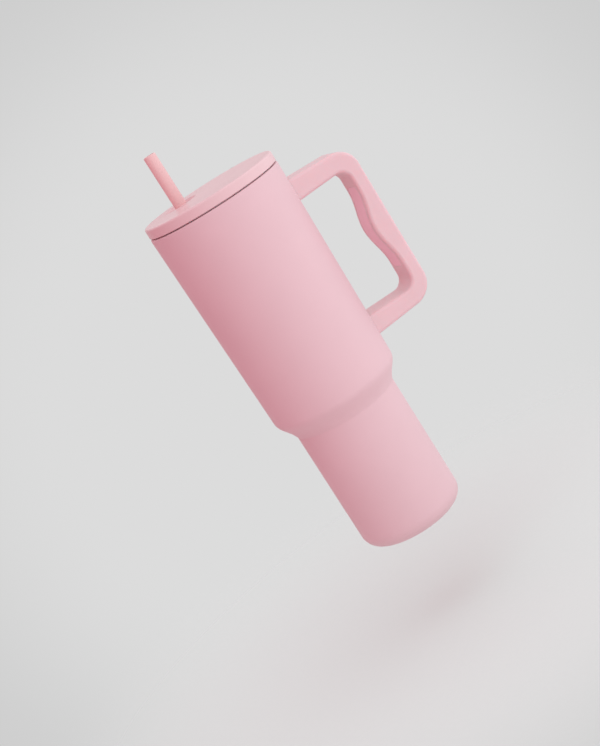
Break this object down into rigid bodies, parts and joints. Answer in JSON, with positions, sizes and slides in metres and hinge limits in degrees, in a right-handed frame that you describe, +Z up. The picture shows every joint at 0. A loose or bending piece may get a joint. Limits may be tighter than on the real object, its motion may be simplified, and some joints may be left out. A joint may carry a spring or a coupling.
{
  "type": "insulated tumbler with lid",
  "caption": "Tall vacuum-insulated tumbler with a narrow foot, a fixed side handle, a press-in flat lid and a straight drinking straw.",
  "frame": {"origin": "centre of the base pad's flat underside, on the cup's axis", "axes": "+Z up along the cup's axis towards the straw's tip; +X from the axis towards the handle; +Y completes a right-handed frame"},
  "size_m": [0.1473, 0.1004, 0.3145],
  "materials": {
    "powder_coat": "matte powder coat, fine even grain",
    "moulded_pink": "satin moulded plastic",
    "straw_pink": "satin extruded plastic",
    "silicone": "soft matte silicone",
    "steel": "brushed stainless steel",
    "glass": "fused glass bead",
    "getter": "sintered grey pellet"
  },
  "bodies": {
    "cup": {"outer_shell": "powder_coat", "inner_liner": "steel", "outer_bottom": "steel", "port_seal_bead": "glass", "base_pad": "silicone", "vacuum_getter": "getter", "handle_frame": "moulded_pink", "handle_grip_insert": "moulded_pink", "handle_bracket_upper": "steel", "handle_bracket_lower": "steel", "handle_screw_upper": "steel", "handle_screw_lower": "steel", "screw_plug_upper": "silicone", "screw_plug_lower": "silicone"},
    "lid": {"lid_top": "moulded_pink", "lid_plug": "moulded_pink", "lid_gasket": "silicone", "straw_grommet": "silicone"},
    "straw": {"straw": "straw_pink"}
  },
  "joints": [
    {"name": "lid_lift", "type": "slide", "parent": "cup", "child": "lid", "axis": [0, 0, 1], "range_m": [0, 0.27]},
    {"name": "straw_slide", "type": "slide", "parent": "lid", "child": "straw", "axis": [0, 0, 1], "range_m": [0, 0.27]}
  ]
}
